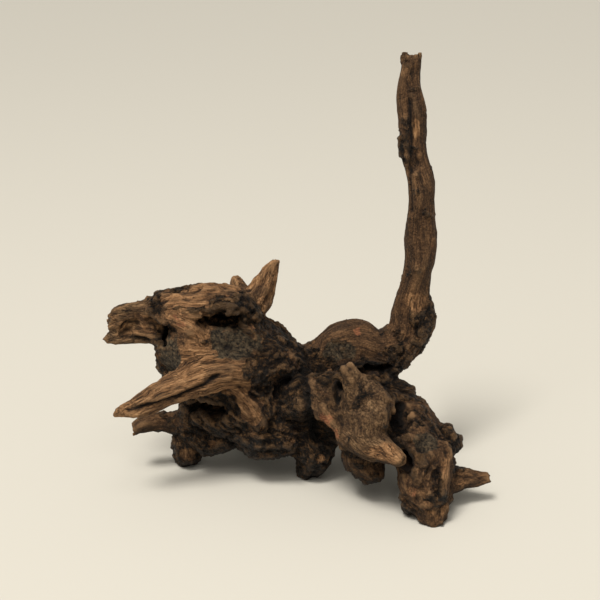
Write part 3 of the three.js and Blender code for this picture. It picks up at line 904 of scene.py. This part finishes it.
def dressed(corners, quads, neighbours, field, low, limbs):
    """The skin with its relief, its grain's coordinates, and the values that colour it.

    The lift along the normal is the sum of strands and fibres, both noise stretched along the grain, of crags
    and of bark, less the cracks. It fades in hollows and at the feet. The ridge value is how far a corner
    stands out of the skin smoothed about it.
    """
    normals = corner_normals(corners, quads)
    grain, finish = limb_shares(limbs, corners)
    patches = {kind: patch_share(corners, kind) for kind in PATCHES}
    swirl = grain + SWIRL * noise_ways(corners / SWIRL_SIZE)
    strand = finish["strand"] * folded(swirl / STRAND_SIZE, SEEDS["strand"])
    fibre = finish["fibre"] * noise(swirl / FIBRE_SIZE, SEEDS["fibre"])
    crag = CRAG * finish["crag"] * layered(corners / CRAG_SIZE, SEEDS["crag"], 3)
    cover = bark_cover(corners, finish, patches)
    crack = crack_depth(corners)
    lift = (strand + crag) * (1 - CHAR_FLAT * patches["char"]) + fibre
    lift += cover * bark_height(corners, swirl) - crack
    sunk = shelter(field, low, corners, normals)
    lift *= np.clip(1.15 - sunk, 0.3, 1) * soft_step(corners[:, 2], *FOOT)
    skin = corners + normals * lift[:, None]
    skin[:, 2] = np.maximum(skin[:, 2], 0)
    normals = corner_normals(skin, quads)
    # painted shade on the turned-down skin near the floor
    underside_shade = underside_shade_share(normals, corners[:, 2])
    bulge = ((skin - neighbours.smooth(skin, BULGE_ROUNDS)) * normals).sum(1)
    values = {
        "bark": cover,
        "bare": np.clip(finish["bare"] + patches["bare"], 0, 1),
        "grey": np.clip(finish["grey"] - 0.5 * patches["bare"], 0, 1),
        "rust": patches["rust"],
        "fibrous": np.clip(finish["fibrous"] + 0.5 * patches["bare"], 0, 1),
        "char": patches["char"],
        # painted shade: darker where the skin is sheltered, in cracks, and on the underside near the floor
        "painted_shade": np.clip(soft_step(sunk, 0.25, 0.85) + np.clip(crack / 2, 0, 1) + underside_shade, 0, 1),
        "ridge": np.clip(neighbours.smooth(bulge, 1), -1.5, 1.5),
    }
    return skin, grain, values


def skin_mesh(name, corners, quads, grain, values):
    """The quads as a smooth mesh in metres, with the grain's coordinates and each value as attributes."""
    mesh = bpy.data.meshes.new(name)
    mesh.vertices.add(len(corners))
    mesh.vertices.foreach_set("co", (corners * MM).ravel())
    mesh.loops.add(quads.size)
    mesh.loops.foreach_set("vertex_index", quads.ravel())
    mesh.polygons.add(len(quads))
    mesh.polygons.foreach_set("loop_start", np.arange(0, quads.size, 4))
    mesh.polygons.foreach_set("use_smooth", np.ones(len(quads), bool))
    mesh.update(calc_edges=True)
    mesh.attributes.new("grain", "FLOAT_VECTOR", "POINT").data.foreach_set("vector", grain.ravel())
    for key, value in values.items():
        mesh.attributes.new(key, "FLOAT", "POINT").data.foreach_set("value", value.astype(np.float32))
    return mesh


def driftwood_skin():
    """The whole root as one piece."""
    limbs = [Limb(name, i + 1) for i, name in enumerate(LIMBS)]
    field, low = root_lattice(limbs)
    corners, quads = skin_of(field, low)
    neighbours = Neighbours(quads, len(corners))
    corners = relaxed(corners, neighbours, field, low)
    corners, grain, values = dressed(corners, quads, neighbours, field, low, limbs)
    mesh = skin_mesh("driftwood_skin", corners, quads, grain, values)
    piece = bpy.data.objects.new("driftwood_skin", mesh)
    bpy.context.scene.collection.objects.link(piece)
    return piece


def tone(colour):
    """A colour of 0 to 255, as light."""
    return tuple((part / 255) ** 2.2 for part in colour) + (1.0,)


class Wiring:
    """Adds nodes to a material; a socket given for an input is joined to it, anything else is set on it."""

    def __init__(self, material):
        material.use_nodes = True
        self.tree = material.node_tree
        self.surface = self.tree.nodes["Principled BSDF"]

    def add(self, kind, inputs, **settings):
        """A new node with its settings and inputs."""
        node = self.tree.nodes.new(kind)
        for key, value in settings.items():
            setattr(node, key, value)
        self.join(node, inputs)
        return node

    def join(self, node, inputs):
        """Each input of a node joined or set."""
        for key, value in inputs.items():
            if isinstance(value, bpy.types.NodeSocket):
                self.tree.links.new(value, node.inputs[key])
            else:
                node.inputs[key].default_value = value

    def value(self, name):
        """A value that the skin carries."""
        return self.add("ShaderNodeAttribute", {}, attribute_name=name).outputs["Fac"]

    def place(self, name):
        """A place that the skin carries."""
        return self.add("ShaderNodeAttribute", {}, attribute_name=name).outputs["Vector"]

    def work(self, operation, one, other):
        """Two values added, taken away or the like."""
        return self.add("ShaderNodeMath", {0: one, 1: other}, operation=operation).outputs[0]

    def times(self, one, other):
        """One value times the other."""
        return self.work("MULTIPLY", one, other)

    def stretch(self, place, sizes):
        """A place over a pattern's sizes."""
        scale = tuple(1 / s for s in sizes)
        return self.add("ShaderNodeVectorMath", {0: place, 1: scale}, operation="MULTIPLY").outputs[0]

    def noise(self, place, layers, rough):
        """Layers of noise, about a half."""
        inputs = {"Vector": place, "Scale": 1.0, "Detail": layers, "Roughness": rough}
        return self.add("ShaderNodeTexNoise", inputs).outputs[0]

    def step(self, value, low, high):
        """0 at low, 1 at high, and smooth between; low may be the greater."""
        inputs = {0: value, 1: low, 2: high}
        return self.add("ShaderNodeMapRange", inputs, interpolation_type="SMOOTHSTEP").outputs[0]

    def border(self, name, fray):
        """A finish's mask with an uneven border: its value plus noise about nought, stepped."""
        amount, low, high = BORDERS[name]
        uneven = self.work("MULTIPLY_ADD", fray, amount)
        self.join(uneven.node, {2: -amount / 2})
        return self.step(self.work("ADD", self.value(name), uneven), low, high)

    def ramp(self, value, name):
        """A finish's tones along a value, mixed evenly between their places."""
        node = self.add("ShaderNodeValToRGB", {0: value})
        points = node.color_ramp.elements
        while len(points) < len(RAMPS[name]):
            points.new(0.5)
        for point, (position, colour) in zip(points, RAMPS[name]):
            point.position = position
            point.color = tone(colour)
        return node.outputs[0]

    def blend(self, share, one, other):
        """Two values mixed, the other by its share."""
        return self.add("ShaderNodeMix", {0: share, 2: one, 3: other}).outputs[0]

    def mix(self, share, one, other):
        """Two colours mixed, the other by its share."""
        return self.add("ShaderNodeMix", {0: share, 6: one, 7: other}, data_type="RGBA").outputs[2]

    def tint(self, colour, mask, strength, over):
        """A tone laid over a colour, by the mask times the strength."""
        return self.mix(self.times(mask, strength), colour, tone(over))


def wood_patterns(w):
    """The patterns that the finishes share, by name: noise stretched along the grain or the same all ways.

    The streak is broad and fine streaks where the wood is fibrous, and specks and blotches elsewhere. Checks
    are thin lines, where noise comes near a half, in some of the fibrous wood. Loose is less where fibrous.
    """
    grain = w.place("grain")
    spot = w.add("ShaderNodeTexCoord", {}).outputs["Object"]
    made = {"grain": grain}
    for name, (sizes, layers, rough) in GRAIN_PATTERNS.items():
        made[name] = w.noise(w.stretch(grain, sizes), layers, rough)
    for name, (size, layers, rough) in SPOT_PATTERNS.items():
        made[name] = w.noise(w.stretch(spot, (size * MM,) * 3), layers, rough)
    p = SimpleNamespace(**made)
    fibrous = w.value("fibrous")
    p.streak = w.blend(fibrous, w.blend(0.5, p.speck, p.blotch), w.blend(FINE_SHARE, p.broad, p.fine))
    line = w.work("ABSOLUTE", w.work("SUBTRACT", p.check, 0.5), 0.0)
    line = w.times(w.step(line, 0.028, 0.004), w.step(p.blotch, 0.38, 0.55))
    p.check = w.times(line, fibrous)
    p.loose = w.blend(fibrous, 1.0, 0.35)
    return p


def streaked_wood(w, p):
    """Brown wood, with grey and bare tan wood, dark stains and rust laid over it in turn."""
    wood = w.mix(w.border("grey", p.fray), w.ramp(p.streak, "brown"), w.ramp(p.streak, "grey"))
    wood = w.mix(w.border("bare", p.fray), wood, w.ramp(p.streak, "tan"))
    wood = w.tint(wood, w.step(p.stain, 0.5, 0.72), 0.7, STAIN_TONE)
    return w.mix(w.border("rust", p.fray), wood, w.ramp(p.streak, "rust"))


def flaking_bark(w, p):
    """The bark's colour, rind and seams: cells of uneven outline, each of its own tone, with dark edges."""
    flakes = w.stretch(p.grain, BARK_FLAKE)
    swirl = w.add("ShaderNodeTexNoise", {"Vector": flakes}).outputs[1]
    swirl = w.add("ShaderNodeVectorMath", {0: flakes, 1: swirl}, operation="ADD").outputs[0]
    cells = {"Vector": swirl, "Scale": 1.0}
    gap = w.add("ShaderNodeTexVoronoi", cells, feature="DISTANCE_TO_EDGE").outputs["Distance"]
    tones = w.add("ShaderNodeTexVoronoi", cells).outputs["Color"]
    rind = w.blend(0.22, w.blend(0.25, p.speck, p.blotch), tones)
    seam = w.step(gap, 0.17, 0.02)
    return w.tint(w.ramp(rind, "bark"), seam, 0.8, SEAM_TONE), rind, seam


def weathered(w, p, colour, crust):
    """A colour with dirt, pale chips and checks, with wear and a painted highlight on ridges, and painted
    shade in crevices, in sheltered hollows, in cracks and on the underside laid over it.
    """
    ridge = w.value("ridge")
    colour = w.tint(colour, w.step(p.grit, 0.52, 0.36), w.times(p.loose, 0.6), DIRT_AND_SHADE_TONE)
    colour = w.tint(colour, w.step(p.grit, 0.54, 0.7), w.times(p.loose, 0.3), CHIP_TONE)
    colour = w.tint(colour, p.check, 0.75, CHECK_TONE)
    # pale on standing ridges: partly wear, partly a painted highlight
    colour = w.tint(colour, w.step(ridge, 0.15, 1.0), w.blend(crust, 0.38, 0.22), WEAR_AND_HIGHLIGHT_TONE)
    # painted shade in crevices, where the skin sinks below its smoothed surroundings
    colour = w.tint(colour, w.step(ridge, -0.05, -0.75), 0.85, CREVICE_SHADE_TONE)
    # painted shade where the skin is sheltered, in cracks and on the underside
    return w.tint(colour, w.value("painted_shade"), 0.9, DIRT_AND_SHADE_TONE)


def fine_relief(w, p, crust, rind, seam):
    """Height of the finest relief: streaks, specks and checks on wood, rind and seams on bark, and grit."""
    wood = w.work("ADD", w.times(p.streak, 0.8), w.times(p.speck, 0.8))
    wood = w.work("SUBTRACT", wood, w.times(p.check, 0.5))
    bark = w.work("SUBTRACT", w.times(rind, 3.6), w.times(seam, 0.5))
    return w.work("ADD", w.blend(crust, wood, bark), w.times(p.grit, w.times(p.loose, 0.7)))


def weathered_wood():
    """Streaked wood under flaking bark and char, each laid over the last by its mask."""
    material = bpy.data.materials.new("weathered_wood")
    w = Wiring(material)
    p = wood_patterns(w)
    bark, rind, seam = flaking_bark(w, p)
    crust = w.border("bark", p.fray)
    colour = w.mix(crust, streaked_wood(w, p), bark)
    colour = w.mix(w.border("char", p.fray), colour, w.ramp(p.speck, "char"))
    height = fine_relief(w, p, crust, rind, seam)
    bump = w.add("ShaderNodeBump", {"Strength": 1.0, "Distance": BUMP * MM, "Height": height})
    w.join(w.surface, {
        "Base Color": weathered(w, p, colour, crust),
        "Roughness": w.blend(crust, WOOD_ROUGHNESS, BARK_ROUGHNESS),
        "Specular IOR Level": SHINE,
        "Normal": bump.outputs[0],
    })
    return material


def pale_floor():
    """One plain matt colour."""
    material = bpy.data.materials.new("pale_floor")
    w = Wiring(material)
    w.join(w.surface, {"Base Color": FLOOR_COLOUR, "Roughness": FLOOR_ROUGHNESS})
    return material


def stage_floor():
    """A wide flat floor at the root's feet."""
    bpy.ops.mesh.primitive_plane_add(size=FLOOR_SIZE)
    floor = bpy.context.object
    floor.name = "floor"
    floor.data.materials.append(pale_floor())


def stage_lamp(name, kind, place):
    """A lamp at a place, turned towards the root."""
    light = bpy.data.lights.new(name, kind)
    light.color = LIGHT_COLOUR
    lamp = bpy.data.objects.new(name, light)
    lamp.location = place
    lamp.rotation_euler = (Vector(LIGHT_TARGET) - Vector(place)).to_track_quat("-Z", "Y").to_euler()
    bpy.context.scene.collection.objects.link(lamp)
    return light


def stage_lights():
    """A soft high light, and a broad lamp over the front."""
    sun = stage_lamp("sun", "SUN", SUN_PLACE)
    sun.energy = SUN_STRENGTH
    sun.angle = math.radians(SUN_SPREAD)
    front = stage_lamp("front", "AREA", FRONT_PLACE)
    front.energy = FRONT_POWER
    front.size = FRONT_SIZE


def stage_sky():
    """An even pale light from all round."""
    world = bpy.data.worlds.new("studio")
    world.use_nodes = True
    sky = world.node_tree.nodes["Background"]
    sky.inputs["Color"].default_value = SKY_COLOUR
    sky.inputs["Strength"].default_value = SKY_STRENGTH
    bpy.context.scene.world = world


def stage_camera():
    """A camera in front of the root, looking a little down."""
    lens = bpy.data.cameras.new("camera")
    lens.lens = CAMERA_LENS
    lens.sensor_width = CAMERA_SENSOR
    camera = bpy.data.objects.new("camera", lens)
    camera.location = CAMERA_PLACE
    camera.rotation_euler = (math.radians(90 - CAMERA_DOWN), 0, 0)
    bpy.context.scene.collection.objects.link(camera)
    bpy.context.scene.camera = camera


piece = driftwood_skin()
piece.data.materials.append(weathered_wood())
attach(piece, "root")
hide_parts("driftwood")

stage_floor()
stage_lights()
stage_sky()
stage_camera()
bpy.context.scene.view_settings.view_transform = "Standard"
